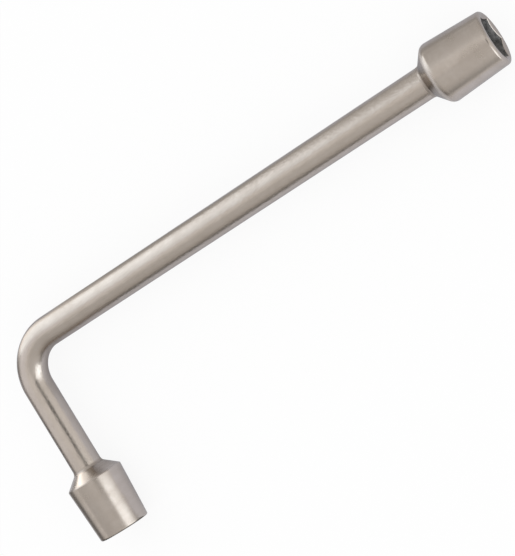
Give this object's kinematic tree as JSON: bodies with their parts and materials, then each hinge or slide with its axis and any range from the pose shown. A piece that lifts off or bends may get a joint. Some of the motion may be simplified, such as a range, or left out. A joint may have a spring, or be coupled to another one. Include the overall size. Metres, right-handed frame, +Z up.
{
  "type": "box spanner",
  "caption": "L-shaped box spanner: a bent steel tube with a round head welded on each end, each head open in a hexagon socket that turns a nut.",
  "frame": {"origin": "under the middle of the outline of the spanner lying flat, at the height where the widest parts of its heads rest", "axes": "+X along the long arm, out of its socket; -Y along the short arm, out of its socket; +Z up, square to the plane of both arms"},
  "size_m": [0.272, 0.1064, 0.0269],
  "materials": {
    "shank_nickel": "satin nickel plate, polished along the tube",
    "head_nickel": "satin nickel plate, polished round the head",
    "weld_nickel": "dressed weld under satin nickel plate"
  },
  "bodies": {
    "root": {"bent_shank": "shank_nickel", "long_arm_socket": "head_nickel", "long_arm_weld": "weld_nickel", "short_arm_socket": "head_nickel", "short_arm_weld": "weld_nickel"}
  },
  "joints": []
}
